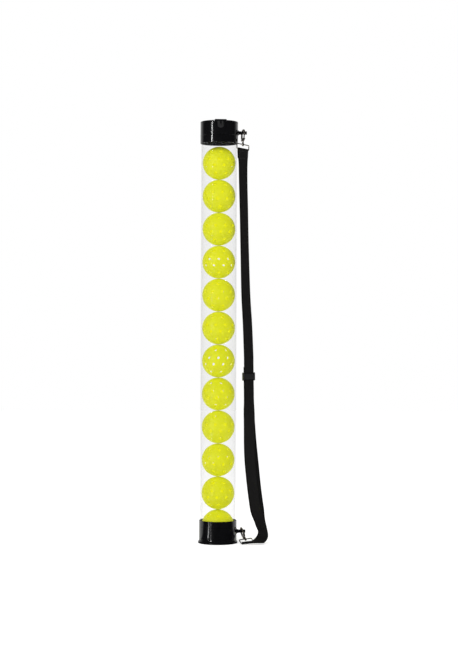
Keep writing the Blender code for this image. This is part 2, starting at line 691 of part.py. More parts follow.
def strap_route(top_bar, bottom_bar):
    """The strap's middle line and half-width directions, from bar to bar.

    Each row is x, y, z of the middle and then the direction across the strap.
    Heights above the straight stretch move with the top post.
    """
    rows = [
        (0.0529, -0.0138, 0.868, 0.915, 0.400, 0.0),
        (0.0530, -0.0140, 0.850, 0.80, 0.60, 0.0),
        (0.0534, -0.0140, 0.810, 0.76, 0.65, 0.0),
        (0.0551, -0.0142, 0.747, 0.75, 0.66, 0.0),
        (0.0570, -0.0146, 0.666, 0.75, 0.66, 0.0),
        (0.0602, -0.0150, 0.558, 0.81, 0.59, 0.0),
        (0.0642, -0.0154, 0.491, 0.84, 0.54, 0.0),
        (0.0670, -0.0158, 0.424, 0.86, 0.51, 0.0),
        (0.0674, -0.0159, 0.400, 0.86, 0.51, 0.0),
        (0.0679, -0.0160, 0.370, 0.86, 0.51, 0.0),
        (0.0684, -0.0161, 0.340, 0.86, 0.51, 0.0),
        (0.0688, -0.0162, 0.315, 0.88, 0.47, 0.0),
        (0.0698, -0.0164, 0.273, 1.00, 0.05, 0.0),
        (0.0728, -0.0166, 0.210, 1.00, 0.0, 0.05),
        (0.0785, -0.0168, 0.147, 1.00, 0.0, 0.10),
        (0.0843, -0.0168, 0.100, 0.99, 0.0, 0.14),
        (0.0895, -0.0160, 0.068, 0.97, 0.0, 0.18),
        (0.0962, -0.0120, 0.042, 0.93, 0.10, -0.05),
        (0.1015, -0.0090, 0.0205, 0.88, -0.10, -0.38),
        (0.0950, -0.0240, 0.0095, 0.82, -0.48, -0.31),
        (0.0870, -0.0355, 0.0060, 0.95, -0.10, -0.06),
        (0.0745, -0.0410, 0.0050, 0.95, 0.20, 0.03),
    ]
    lift = TOP_POST_Z - ROUTE_TOP_POST_Z
    shift = HOOK_X - ROUTE_HOOK_X
    route = []
    for x, y, z, *across in rows:
        share = min(max((z - ROUTE_STRETCH_LOW) / ROUTE_STRETCH, 0.0), 1.0)
        route.append((Vector((x + shift, y, z + lift * share)), Vector(across).normalized()))
    first = (top_bar.to_translation(), top_bar.to_3x3() @ Vector((1.0, 0.0, 0.0)))
    last = (bottom_bar.to_translation(), bottom_bar.to_3x3() @ Vector((1.0, 0.0, 0.0)))
    return [first, *route, last]


def smooth_line(rows, step):
    """Points and directions at even steps along a Catmull-Rom curve."""
    points = np.array([[*place, *across] for place, across in rows])
    points = np.vstack([2 * points[0] - points[1], points, 2 * points[-1] - points[-2]])
    fine = []
    for i in range(1, len(points) - 2):
        before, start, end, after = points[i - 1:i + 3]
        for t in np.arange(24) / 24:
            fine.append(0.5 * (2 * start + (end - before) * t
                               + (2 * before - 5 * start + 4 * end - after) * t ** 2
                               + (3 * start - before - 3 * end + after) * t ** 3))
    fine = np.array(fine + [points[-2]])
    lengths = np.concatenate([[0.0], np.cumsum(np.linalg.norm(np.diff(fine[:, :3], axis=0), axis=1))])
    count = max(int(round(lengths[-1] / step)), 2)
    even = np.linspace(0.0, lengths[-1], count + 1)
    return np.column_stack([np.interp(even, lengths, fine[:, k]) for k in range(6)])


def strap_stations(top_bar, bottom_bar):
    """Middle, across, out and travel vectors at each station from bar to bar.

    The direction across may lean against the travel, where the webbing skews.
    """
    line = smooth_line(strap_route(top_bar, bottom_bar), STRAP_STEP)
    travel = np.gradient(line[:, :3], axis=0)
    stations = []
    for row, along in zip(line, travel):
        along = Vector(along).normalized()
        across = Vector(row[3:]).normalized()
        stations.append((Vector(row[:3]), across, along.cross(across).normalized(), along))
    return stations


def ease(value):
    """A smooth step from 0 to 1."""
    value = min(max(value, 0.0), 1.0)
    return value * value * (3 - 2 * value)


def fan_share(height):
    """How far the two lower layers have slipped sideways at a height."""
    return ease((FAN_TOP - height) / FAN_TOP_BLEND) * ease((height - FAN_LOW) / FAN_LOW_BLEND)


def layer(stations, side, number):
    """One layer's middle, across and outward vectors at a station."""
    place, across, out, _ = stations[number]
    from_end = min(number, len(stations) - 1 - number) * STRAP_STEP
    wrapped = LOOP_WIRE_RADIUS + FIT + STRAP_THICKNESS / 2
    flat = (STRAP_THICKNESS + LAYER_GAP) / 2
    half_gap = flat + (wrapped - flat) * (1 - ease(from_end / WRAP_EASE))
    slip = -side * FAN * fan_share(place.z)
    return place + out * (side * half_gap) + across * slip, across, out * side


def wrap(stations, number, way):
    """The half turn round a loop's bar, from the outer side to the inner one."""
    place, bar, out, along = stations[number]
    beyond = out.cross(bar).normalized()
    if beyond.dot(along) * way < 0:
        beyond = -beyond
    reach = LOOP_WIRE_RADIUS + FIT + STRAP_THICKNESS / 2
    turn = []
    for step in range(1, WRAP_STEPS):
        angle = math.pi * step / WRAP_STEPS
        outward = out * math.cos(angle) + beyond * math.sin(angle)
        turn.append((place + outward * reach, bar, outward))
    return turn


def make_strap(stations, material):
    """One ribbon: top tail, top bar, front layer, bottom bar, back layer."""
    count = len(stations)
    tail = int(round(TOP_TAIL_LENGTH / STRAP_STEP))
    slider = slider_station(stations)
    end = slider - int(round(SLIDER_TAIL / STRAP_STEP))
    path = [layer(stations, -1, number) for number in range(tail, -1, -1)]
    path += reversed(wrap(stations, 0, -1))
    path += [layer(stations, 1, number) for number in range(count)]
    path += wrap(stations, count - 1, 1)
    path += [layer(stations, -1, number) for number in range(count - 1, end - 1, -1)]
    bm = bmesh.new()
    rings = []
    for place, across, outward in path:
        half = across * (STRAP_WIDTH / 2)
        thick = outward * (STRAP_THICKNESS / 2)
        ring = (place - half + thick, place + half + thick, place + half - thick, place - half - thick)
        rings.append([bm.verts.new(corner) for corner in ring])
    for first, second in zip(rings, rings[1:]):
        for side in range(4):
            after = (side + 1) % 4
            bm.faces.new((first[side], first[after], second[after], second[side]))
    bm.faces.new(rings[0])
    bm.faces.new(rings[-1])
    strap = add_object("shoulder_strap", bm, material)
    set_origin(strap, (HOOK_X, 0.0, 0.0))
    length = sum((b[0] - a[0]).length for a, b in zip(path, path[1:]))
    print(f"webbing length {length * 1000:.0f} mm")
    return strap


def slider_station(stations):
    """The station nearest the slider's height."""
    return min(range(len(stations)), key=lambda n: abs(stations[n][0].z - SLIDER_HEIGHT_ON_STRAP))


def make_slider(stations, material):
    """A plastic adjuster: a front panel, two rear bars and side rails."""
    place, across, _, along = stations[slider_station(stations)]
    inner = STRAP_WIDTH / 2 + SLIDER_PLAY
    outer = inner + SLIDER_RAIL_WIDTH
    clear = STRAP_THICKNESS + LAYER_GAP / 2 + FIT
    depth = clear + SLIDER_BAR_THICKNESS
    half = SLIDER_LENGTH / 2
    panel = SLIDER_PANEL_LENGTH / 2
    reach = inner + OVERLAP
    face = depth + OVERLAP
    slider = block("strap_slider", (-outer, -face, -half), (-inner, face, half), material)
    rail = block("rail", (inner, -face, -half), (outer, face, half), material)
    front = block("panel", (-reach, -depth, -panel), (reach, -clear, panel), material)
    combine(slider, front, "UNION")
    combine(slider, rail, "UNION")
    for low in (OVERLAP - half, half - OVERLAP - SLIDER_BAR_LENGTH):
        bar = block("bar", (-reach, clear, low), (reach, depth, low + SLIDER_BAR_LENGTH), material)
        combine(slider, bar, "UNION")
    slider.matrix_world = axes_frame(place, along, across)
    return slider


def stand_on_origin():
    """Moves everything so that the origin is the bottom centre of the whole."""
    bpy.context.view_layer.update()
    corners = [item.matrix_world @ vertex.co for item in bpy.data.objects for vertex in item.data.vertices]
    points = np.array(corners)
    low = points.min(axis=0)
    high = points.max(axis=0)
    root = bpy.data.objects.new("assembly", None)
    bpy.context.collection.objects.link(root)
    for item in list(bpy.data.objects):
        if item is not root:
            item.parent = root
    root.location = (-(low[0] + high[0]) / 2, -(low[1] + high[1]) / 2, -low[2])


def main():
    clear_scene()
    clear = look("clear_plastic", (0.85, 0.86, 0.88), 0.08, alpha=0.3)
    black = look("black_plastic", (0.012, 0.012, 0.014), 0.25)
    spring = look("finger_plastic", (0.02, 0.02, 0.022), 0.4)
    yellow = look("ball_plastic", (0.66, 0.75, 0.02), 0.45)
    steel = look("steel", (0.45, 0.43, 0.40), 0.3, metallic=1.0)
    webbing = look("webbing", (0.012, 0.012, 0.013), 0.8)
    make_tube(clear)
    make_bottom_cap(black)
    make_retainer(black, spring)
    make_balls(yellow)
    make_top_cap(black)
    make_lid(black)
    pin_reach = KNUCKLE_WIDTH / 2 + LUG_WIDTH + HINGE_PIN_PROUD
    hinge_rod("lid_hinge_pin", HINGE_PIN_RADIUS, pin_reach, steel)
    top_post = (HOOK_X, 0.0, TOP_POST_Z)
    top = make_clip("top", top_post, TOP_PULL, TOP_FACING, TOP_ACROSS, steel)
    bottom_post = (HOOK_X, 0.0, BOTTOM_POST_HEIGHT)
    bottom = make_clip("bottom", bottom_post, BOTTOM_PULL, BOTTOM_FACING, BOTTOM_ACROSS, steel)
    to_bar = Matrix.Translation((0.0, 0.0, LOOP_TOP_Z - LOOP_HEIGHT))
    stations = strap_stations(top @ to_bar, bottom @ to_bar)
    make_strap(stations, webbing)
    make_slider(stations, black)
    stand_on_origin()


main()
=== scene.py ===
# %% [markdown]
# A clear tube that picks up and stores pickleballs, built as a lesson.
# The CAD model is already packed: every piece here is placed from its
# solids, in metres, with +Z up, -Y towards the viewer and the strap at +X.
# Smooth round pieces are made again here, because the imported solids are
# faceted. Small castings are copied from their solids and softened.

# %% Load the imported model
import math

import bmesh
import bpy
import numpy as np
from mathutils import Matrix, Vector


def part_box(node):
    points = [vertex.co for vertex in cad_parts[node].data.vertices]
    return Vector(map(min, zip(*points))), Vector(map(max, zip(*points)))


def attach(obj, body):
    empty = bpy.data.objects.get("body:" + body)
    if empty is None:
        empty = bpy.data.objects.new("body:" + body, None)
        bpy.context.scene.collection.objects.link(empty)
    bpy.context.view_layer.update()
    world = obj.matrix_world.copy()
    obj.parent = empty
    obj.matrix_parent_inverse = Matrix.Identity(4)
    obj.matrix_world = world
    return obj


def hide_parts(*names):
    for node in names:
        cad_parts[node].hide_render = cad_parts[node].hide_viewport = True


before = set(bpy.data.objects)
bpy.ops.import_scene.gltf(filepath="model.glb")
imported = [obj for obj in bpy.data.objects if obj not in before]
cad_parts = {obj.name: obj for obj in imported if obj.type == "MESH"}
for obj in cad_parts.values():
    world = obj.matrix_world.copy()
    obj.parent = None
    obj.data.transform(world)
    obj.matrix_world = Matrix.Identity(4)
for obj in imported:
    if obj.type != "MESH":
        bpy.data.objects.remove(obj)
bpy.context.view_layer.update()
bpy.ops.object.select_all(action="DESELECT")

# %% [markdown]
# The measures come from the solids, so this file follows the part when it
# changes. The tube's box gives the axis, and each cap's box gives its
# height. Walls and fits, which a box can't tell, are named.

# %% Measures read from the solids
tube_low, tube_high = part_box("tube")
cap_low, cap_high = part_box("top_cap")
foot_low, foot_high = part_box("bottom_cap")
lid_low, lid_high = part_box("lid")
AXIS_X = (tube_low[0] + tube_high[0]) / 2
AXIS_Y = (tube_low[1] + tube_high[1]) / 2
TUBE_RADIUS = (tube_high[0] - tube_low[0]) / 2
TUBE_WALL = 0.0015
FIT = 0.0003
CAP_WALL = 0.0015
CAP_ABOVE_TUBE = 0.027
CAP_BORE = TUBE_RADIUS + FIT
CAP_RADIUS = CAP_BORE + CAP_WALL
MOUTH_RADIUS = TUBE_RADIUS - TUBE_WALL
FOOT_RADIUS = AXIS_X - foot_low[0]
CAP_TOP = tube_high[2] + FIT + CAP_ABOVE_TUBE
CAP_BOTTOM = cap_low[2]
COLLAR_TOP = foot_high[2]
print("tube radius", round(TUBE_RADIUS, 4), "foot radius", round(FOOT_RADIUS, 4))
print("lid from", round(lid_low[2], 4), "to", round(lid_high[2], 4))

# %% [markdown]
# Shader maths reads best as plain arithmetic. This class wraps one output
# of a node and overloads the operators that the finishes below use.

# %% A socket that does arithmetic
class Signal:
    """An output socket of a finish, with +, - and * as maths nodes."""

    def __init__(self, finish, socket):
        self.finish = finish
        self.socket = socket

    def math(self, operation, first, second):
        return self.finish.add("ShaderNodeMath", {"operation": operation}, {0: first, 1: second})

    def __add__(self, other):
        return self.math("ADD", self, other)

    def __sub__(self, other):
        return self.math("SUBTRACT", self, other)

    def __mul__(self, other):
        return self.math("MULTIPLY", self, other)


# %% [markdown]
# A finish is a Principled material with the few nodes that vary it. Its
# constants are set on the shader's own sockets, and what varies is fed in.

# %% A material with named parts
class Finish:
    """A Principled material and the nodes that vary it."""

    def __init__(self, name, color, roughness, **constants):
        self.material = bpy.data.materials.new(name)
        self.material.use_nodes = True
        self.tree = self.material.node_tree
        self.shader = self.tree.nodes["Principled BSDF"]
        self.shader.inputs["Base Color"].default_value = (*color, 1.0)
        self.shader.inputs["Roughness"].default_value = roughness
        for socket, value in constants.items():
            self.shader.inputs[socket.replace("_", " ")].default_value = value
        print("finish", name)

    def add(self, kind, settings, sockets, output=0):
        """A new node with its settings and its inputs, as a signal."""
        node = self.tree.nodes.new(kind)
        for key, value in settings.items():
            setattr(node, key, value)
        for key, value in sockets.items():
            if isinstance(value, Signal):
                self.tree.links.new(value.socket, node.inputs[key])
            else:
                node.inputs[key].default_value = value
        return Signal(self, node.outputs[output])

    def noise(self, scale, detail=3.0):
        """Noise over the piece's own coordinates, in waves a metre."""
        place = self.add("ShaderNodeTexCoord", {}, {}, "Object")
        return self.add("ShaderNodeTexNoise", {}, {"Vector": place, "Scale": scale, "Detail": detail})

    def tint(self, share, first, second):
        """A colour between two others."""
        colors = {0: share, 6: (*first, 1.0), 7: (*second, 1.0)}
        return self.add("ShaderNodeMix", {"data_type": "RGBA"}, colors, 2)

    def feed(self, socket, signal):
        self.tree.links.new(signal.socket, self.shader.inputs[socket])

    def bump(self, height, strength, distance):
        sockets = {"Height": height, "Strength": strength, "Distance": distance}
        self.feed("Normal", self.add("ShaderNodeBump", {}, sockets))


# %% [markdown]
# The tube is clear plastic. Seen square on it is almost nothing, and at its
# edges the wall is long and reads grey, so the alpha follows the facing
# angle. Handling leaves faint smears, which only roughen the gloss.

# %% Clear plastic
EDGE_ALPHA = 0.45
FACING_ALPHA = 0.04
clear = Finish("clear_plastic", (0.16, 0.165, 0.17), roughness=0.06, IOR=1.49)
facing = clear.add("ShaderNodeLayerWeight", {}, {"Blend": 0.18}, "Facing")
clear.feed("Alpha", facing * facing * EDGE_ALPHA + FACING_ALPHA)
clear.feed("Roughness", clear.noise(scale=9.0, detail=2.0) * 0.04 + 0.03)

# %% [markdown]
# The caps, posts and lid are black moulded plastic with a near-mirror
# gloss. A very fine grain breaks the highlight, and wear lifts the
# roughness in patches.

# %% Black mouldings
black = Finish("black_moulding", (0.004, 0.004, 0.005), roughness=0.2, IOR=1.5, Specular_IOR_Level=0.3)
wear = black.noise(scale=55.0, detail=5.0)
black.feed("Roughness", wear * 0.10 + 0.07)
black.feed("Base Color", black.tint(wear, (0.002, 0.002, 0.0025), (0.006, 0.006, 0.007)))
black.bump(black.noise(scale=900.0, detail=1.0), strength=0.03, distance=0.00002)

# %% [markdown]
# The fingers, their ring and the strap's adjuster are a tougher black
# plastic with a dull grain.

# %% Springy black plastic
springy = Finish("finger_plastic", (0.009, 0.009, 0.010), roughness=0.4)
grain = springy.noise(scale=700.0, detail=3.0)
springy.feed("Roughness", grain * 0.25 + 0.32)
springy.bump(grain, strength=0.2, distance=0.0001)

# %% [markdown]
# The balls are moulded in a saturated yellow-green, with cloudy lighter
# patches and a soft sheen. Light comes through their thin wall, and a weak
# emission of the same yellow stands in for it. The faces of the hollow get
# a finish that glows a little more, so that the holes look bright.

# %% Ball plastic
ball_yellow = Finish("ball_plastic", (0.62, 0.68, 0.008), roughness=0.42, Specular_IOR_Level=0.15,
                     Emission_Color=(0.72, 0.78, 0.004, 1.0), Emission_Strength=0.2)
cloud = ball_yellow.noise(scale=30.0, detail=1.0)
ball_yellow.feed("Base Color", ball_yellow.tint(cloud, (0.62, 0.66, 0.003), (0.72, 0.71, 0.006)))
ball_yellow.feed("Roughness", ball_yellow.noise(scale=230.0, detail=5.0) * 0.25 + 0.33)
ball_yellow.bump(ball_yellow.noise(scale=500.0, detail=2.0), strength=0.08, distance=0.00005)

ball_inside = Finish("ball_inside", (0.76, 0.74, 0.008), roughness=0.5, Specular_IOR_Level=0.15,
                     Emission_Color=(0.80, 0.82, 0.004, 1.0), Emission_Strength=0.34)
ball_inside.feed("Roughness", ball_inside.noise(scale=300.0) * 0.2 + 0.4)

# %% [markdown]
# The clips are cast metal, tumbled and plated, so their shine is uneven
# and slightly warm.

# %% Plated metal
plated = Finish("plated_metal", (0.34, 0.31, 0.28), roughness=0.3, Metallic=1.0)
tumble = plated.noise(scale=420.0, detail=5.0)
plated.feed("Base Color", plated.tint(tumble, (0.24, 0.22, 0.20), (0.46, 0.42, 0.37)))
plated.feed("Roughness", tumble * 0.3 + 0.2)
plated.bump(plated.noise(scale=1500.0, detail=2.0), strength=0.15, distance=0.00008)

# %% [markdown]
# Webbing is a tight herringbone of thick black yarn. The pattern follows
# the strip's own map, measured in metres along it and round its section,
# so it bends with the strap. One sine gives the ribs, and another, slanted
# by a zigzag, gives the herringbone. Half a turn round the section is the
# front face and one edge, and near each edge the weave is darker.

# %% Webbing
RIB_PITCH = 0.0021
YARN_PITCH = 0.0011
YARN_SLANT = 1.2
WEB_HALF_TURN = 0.0258
EDGE_BAND_WIDTH = 0.0022
EDGE_BAND_DARKENING = 0.4
webbing = Finish("webbing", (0.006, 0.006, 0.007), roughness=0.8, Specular_IOR_Level=0.1)
web_map = webbing.add("ShaderNodeUVMap", {}, {})
round_web = webbing.add("ShaderNodeSeparateXYZ", {}, {"Vector": web_map})
along_web = Signal(webbing, round_web.socket.node.outputs["Y"])
zigzag = round_web.math("PINGPONG", round_web * (1.0 / RIB_PITCH), 1.0)
slant = along_web * (1.0 / YARN_PITCH) + zigzag * YARN_SLANT
yarn = slant.math("SINE", slant * math.tau, 0.0)
rib = round_web.math("SINE", round_web * (math.tau / RIB_PITCH), 0.0)
weave = yarn * 0.35 + rib * 0.25 + 0.5
# Near each edge the colour is made darker, in a band of fixed width.
inset = round_web.math("PINGPONG", round_web, WEB_HALF_TURN / 2)
edge_band = inset.math("LESS_THAN", inset, EDGE_BAND_WIDTH)
shade = weave - edge_band * EDGE_BAND_DARKENING
webbing.feed("Base Color", webbing.tint(shade, (0.001, 0.001, 0.001), (0.017, 0.016, 0.016)))
webbing.feed("Roughness", weave * -0.2 + 0.85)
webbing.bump(weave, strength=0.6, distance=0.0003)

# %% [markdown]
# Every piece is settled, so that its mesh is in world coordinates, and
# dressed with its finish and the body that it rides on, and the solid that
# it stands for is hidden.

# %% Settle and dress a piece
def settle(piece):
    """Applies the place of a piece, so that its object sits at the origin."""
    bpy.ops.object.select_all(action="DESELECT")
    piece.select_set(True)
    bpy.context.view_layer.objects.active = piece
    bpy.ops.object.transform_apply(location=True, rotation=True, scale=True)


def dress(piece, finish, body, slot, *nodes):
    """Gives a piece its finish and the body that it rides on, and hides the solids that it stands for."""
    piece.data.materials.clear()
    piece.data.materials.append(finish.material)
    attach(piece, body)
    if nodes:
        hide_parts(*nodes)


# %% [markdown]
# A turned piece is easiest to draw as an outline of radius and height. One
# circle is added at the outline's first point, extruded, moved and resized
# to each later point, and the last ring is bridged back to the first, just
# as one would do by hand in edit mode.

# %% Steps in edit mode
def draw_rings(outline, x, y):
    """Extrudes the selected ring to each further (radius, height) of an outline."""
    for (radius, height), (next_radius, next_height) in zip(outline, outline[1:]):
        rise = next_height - height
        share = next_radius / radius
        bpy.ops.mesh.extrude_region_move(TRANSFORM_OT_translate={"value": (0, 0, rise)})
        bpy.ops.transform.resize(value=(share, share, 1), center_override=(x, y, next_height))


def face_out():
    """Merges doubled points and turns every face outwards."""
    bpy.ops.mesh.select_all(action="SELECT")
    bpy.ops.mesh.remove_doubles(threshold=1e-6)
    bpy.ops.mesh.normals_make_consistent(inside=False)


def select_rings(piece, points):
    """Selects the edges of the rings at the given radii and heights."""
    mesh = piece.data
    near = []
    for vertex in mesh.vertices:
        radius = math.hypot(vertex.co.x - AXIS_X, vertex.co.y - AXIS_Y)
        near.append(any(math.hypot(radius - r, vertex.co.z - z) < 2e-5 for r, z in points))
    for part in (mesh.vertices, mesh.edges, mesh.polygons):
        part.foreach_set("select", [False] * len(part))
    for edge in mesh.edges:
        first, second = (mesh.vertices[number] for number in edge.vertices)
        level = abs(first.co.z - second.co.z) < 1e-6
        edge.select = level and near[first.index] and near[second.index]
        first.select = first.select or edge.select
        second.select = second.select or edge.select


# %% Turn an outline into a piece
ROUND_SIDES = 160
TURNED_SMOOTH = math.radians(32)


def turned_piece(name, outline):
    """A ring of revolution about the tube's axis from (radius, height) points."""
    first_radius, first_height = outline[0]
    bpy.ops.mesh.primitive_circle_add(vertices=ROUND_SIDES, radius=first_radius, fill_type="NOTHING",
                                      location=(AXIS_X, AXIS_Y, first_height))
    piece = bpy.context.object
    piece.name = name
    settle(piece)
    bpy.ops.object.mode_set(mode="EDIT")
    bpy.ops.mesh.select_all(action="SELECT")
    draw_rings(outline, AXIS_X, AXIS_Y)
    bpy.ops.object.mode_set(mode="OBJECT")
    select_rings(piece, (outline[0], outline[-1]))
    bpy.ops.object.mode_set(mode="EDIT")
    bpy.ops.mesh.bridge_edge_loops()
    face_out()
    bpy.ops.object.mode_set(mode="OBJECT")
    bpy.ops.object.shade_smooth_by_angle(angle=TURNED_SMOOTH)
    print(name, len(piece.data.polygons), "faces")
    return piece


def rounded(corner, before, after, radius, steps=4):
    """Points of a rounded corner between two straight runs of an outline."""
    corner = Vector(corner)
    start = corner + (Vector(before) - corner).normalized() * radius
    end = corner + (Vector(after) - corner).normalized() * radius
    points = []
    for step in range(steps + 1):
        t = step / steps
        point = start * (1 - t) ** 2 + corner * (2 * t * (1 - t)) + end * t ** 2
        points.append((point.x, point.y))
    return points


# %% [markdown]
# The tube is one length of clear plastic pipe with lightly eased ends.

# %% Tube
TUBE_EASE = 0.0003
tube_bottom, tube_top = tube_low[2], tube_high[2]
tube = turned_piece("tube_wall", [
    (TUBE_RADIUS, tube_top - TUBE_EASE),
    (TUBE_RADIUS, tube_bottom + TUBE_EASE),
    (TUBE_RADIUS - TUBE_EASE, tube_bottom),
    (MOUTH_RADIUS + TUBE_EASE, tube_bottom),
    (MOUTH_RADIUS, tube_bottom + TUBE_EASE),
    (MOUTH_RADIUS, tube_top - TUBE_EASE),
    (MOUTH_RADIUS + TUBE_EASE, tube_top),
    (TUBE_RADIUS - TUBE_EASE, tube_top),
])
dress(tube, clear, "frame", "clear_plastic", "tube")

# %% [markdown]
# The bottom cap is a collar over a flared foot. The flare is a concave
# curve, the rim is rounded and a shadow line runs round where the collar
# meets the foot ring. Inside, a lip and a shelf hold the finger ring.

# %% Bottom cap
COLLAR_EASE = 0.0005
BORE_EASE = 0.0003
SEAM = COLLAR_TOP - 0.0146
SEAM_HALF = 0.0004
SEAM_DEPTH = 0.0005
FOOT_HEIGHT = 0.004
FLARE_HEIGHT = 0.006
FLARE_STEPS = 8
FLARE_POWER = 2.4
RIM_ROUND = 0.0009
LIP_RADIUS = MOUTH_RADIUS + 0.0004
LIP_LOW = 0.0018
LIP_TOP = 0.006
LIP_EASE = 0.0003
LIP_RISE = 0.0004
SEAT_RADIUS = CAP_BORE + 0.0002
SHELF_RADIUS = MOUTH_RADIUS + 0.0002
SHELF_LOW = 0.028
SHELF_TOP = 0.030
outline = [(CAP_RADIUS - COLLAR_EASE, COLLAR_TOP), (CAP_RADIUS, COLLAR_TOP - COLLAR_EASE)]
outline += [(CAP_RADIUS, SEAM + SEAM_HALF), (CAP_RADIUS - SEAM_DEPTH, SEAM + SEAM_HALF * 0.5)]
outline += [(CAP_RADIUS - SEAM_DEPTH, SEAM - SEAM_HALF * 0.5), (CAP_RADIUS, SEAM - SEAM_HALF)]
for step in range(FLARE_STEPS + 1):
    t = step / FLARE_STEPS
    flare = CAP_RADIUS + (FOOT_RADIUS - CAP_RADIUS) * t ** FLARE_POWER
    outline.append((flare, FOOT_HEIGHT + FLARE_HEIGHT * (1 - t)))
outline += rounded((FOOT_RADIUS, 0.0), (FOOT_RADIUS, FOOT_HEIGHT), (CAP_RADIUS, 0.0), RIM_ROUND)
outline += [(SEAT_RADIUS, 0.0), (LIP_RADIUS + LIP_EASE, LIP_LOW), (LIP_RADIUS, LIP_LOW + LIP_RISE)]
outline += [(LIP_RADIUS, LIP_TOP), (SEAT_RADIUS, LIP_TOP)]
outline += [(SEAT_RADIUS, SHELF_LOW), (SHELF_RADIUS, SHELF_LOW), (SHELF_RADIUS, SHELF_TOP)]
outline += [(CAP_BORE, SHELF_TOP), (CAP_BORE, COLLAR_TOP - BORE_EASE)]
outline += [(CAP_BORE + BORE_EASE, COLLAR_TOP)]
bottom_cap = turned_piece("foot_collar", outline)
dress(bottom_cap, black, "frame", "black_plastic", "bottom_cap")

# %% [markdown]
# The top cap has a fine groove with a round bead above it, which is all
# that breaks its plain gloss.

# %% Top cap
TOP_ROUND = 0.0005
BOTTOM_ROUND = 0.0004
GROOVE = CAP_TOP - 0.029
GROOVE_LOW = GROOVE - 0.001
GROOVE_EASE = 0.0001
GROOVE_RADIUS = CAP_RADIUS - 0.0006
BEAD_TOP = GROOVE + 0.0019
BEAD_MIDDLE = GROOVE + 0.00095
BEAD_REACH = 0.00035
BEAD_HALF = 0.0008
BEAD_STEPS = 6
SHOULDER = CAP_TOP - CAP_ABOVE_TUBE
outline = rounded((CAP_RADIUS, CAP_TOP), (MOUTH_RADIUS, CAP_TOP), (CAP_RADIUS, CAP_BOTTOM), TOP_ROUND)
outline += [(CAP_RADIUS, BEAD_TOP)]
for step in range(BEAD_STEPS + 1):
    bend = math.pi * step / BEAD_STEPS
    outline.append((CAP_RADIUS + BEAD_REACH * math.sin(bend), BEAD_MIDDLE + BEAD_HALF * math.cos(bend)))
outline += [(CAP_RADIUS, GROOVE), (GROOVE_RADIUS, GROOVE - GROOVE_EASE)]
outline += [(GROOVE_RADIUS, GROOVE_LOW + GROOVE_EASE), (CAP_RADIUS, GROOVE_LOW)]
outline += rounded((CAP_RADIUS, CAP_BOTTOM), (CAP_RADIUS, GROOVE), (CAP_BORE, CAP_BOTTOM), BOTTOM_ROUND)
outline += [(CAP_BORE + 0.0002, CAP_BOTTOM), (CAP_BORE, CAP_BOTTOM + BORE_EASE)]
outline += [(CAP_BORE, SHOULDER), (MOUTH_RADIUS, SHOULDER), (MOUTH_RADIUS, CAP_TOP)]
top_cap = turned_piece("top_collar", outline)
dress(top_cap, black, "frame", "black_plastic", "top_cap")

# %% [markdown]
# Both side posts share one shape: a flared root like a moulded fillet, a
# straight neck and a round knob that keeps the hook on. A post is drawn
# upright as a stack of rings, then laid over and moved to its cap.

# %% Side posts
POST_REACH = cap_high[0] - AXIS_X
POST_SINK = 0.0009
POST_ROOT = 0.0067
ROOT_SPREAD = 0.0003
NECK_RADIUS = 0.0034
NECK_START = POST_REACH - 0.0101
NECK_END = POST_REACH - 0.0060
FILLET_START = CAP_RADIUS + 0.0001
FILLET_LENGTH = 0.0036
FILLET_DEPTH = 0.0027
FILLET_STEPS = 7
FILLET_POWER = 2.2
STEP_RADIUS = 0.0036
STEP_END = POST_REACH - 0.0052
KNOB_RADIUS = 0.00385
KNOB_START = POST_REACH - 0.0047
KNOB_ROUND = 0.0010
KNOB_STEPS = 6
POST_SIDES = 48
EDGE_SMOOTH = math.radians(40)
TOP_POST_Z = CAP_BOTTOM + 0.0246
BOTTOM_POST_Z = 0.026


def post_outline():
    """Radius and reach of a post, from its root in the cap's wall to its end."""
    outline = [(POST_ROOT + ROOT_SPREAD, CAP_RADIUS - POST_SINK), (POST_ROOT, FILLET_START)]
    for step in range(1, FILLET_STEPS + 1):
        t = step / FILLET_STEPS
        radius = POST_ROOT - FILLET_DEPTH * (1 - (1 - t) ** FILLET_POWER)
        outline.append((radius, FILLET_START + FILLET_LENGTH * t))
    outline += [(NECK_RADIUS, NECK_START), (NECK_RADIUS, NECK_END), (STEP_RADIUS, STEP_END)]
    knob_low = (KNOB_RADIUS, KNOB_START)
    knob_high = (KNOB_RADIUS, POST_REACH)
    outline += rounded(knob_low, (STEP_RADIUS, STEP_END), knob_high, 0.0003)
    outline += rounded(knob_high, knob_low, (0.0, POST_REACH), KNOB_ROUND, KNOB_STEPS)
    outline.append((0.0001, POST_REACH))
    return outline


def post(name, height, cap):
    """A post that points to +X, at a height on its cap."""
    outline = post_outline()
    root_radius, root_reach = outline[0]
    bpy.ops.mesh.primitive_circle_add(vertices=POST_SIDES, radius=root_radius, fill_type="NGON",
                                      location=(0.0, 0.0, root_reach))
    piece = bpy.context.object
    piece.name = name
    settle(piece)
    bpy.ops.object.mode_set(mode="EDIT")
    bpy.ops.mesh.select_all(action="SELECT")
    draw_rings(outline, 0.0, 0.0)
    face_out()
    bpy.ops.object.mode_set(mode="OBJECT")
    piece.matrix_world = (Matrix.Translation((AXIS_X, AXIS_Y, height))
                          @ Matrix.Rotation(math.pi / 2, 4, "Y"))
    settle(piece)
    bpy.ops.object.shade_smooth_by_angle(angle=EDGE_SMOOTH)
    dress(piece, black, "frame", "black_plastic", cap)
    print(name, "at height", round(height, 4))


post("top_post", TOP_POST_Z, "top_cap")
post("bottom_post", BOTTOM_POST_Z, "bottom_cap")

# %% [markdown]
# The castings, gates, loops, fingers, pins and lid already have the right
# shape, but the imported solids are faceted. Each is copied, its loose
# triangles are merged, flat faces are joined again, and a narrow bevel
# with smooth shading rounds the edges as casting or moulding does.

# %% Softened copies of the small solids
BEVEL_ABOVE = math.radians(50)


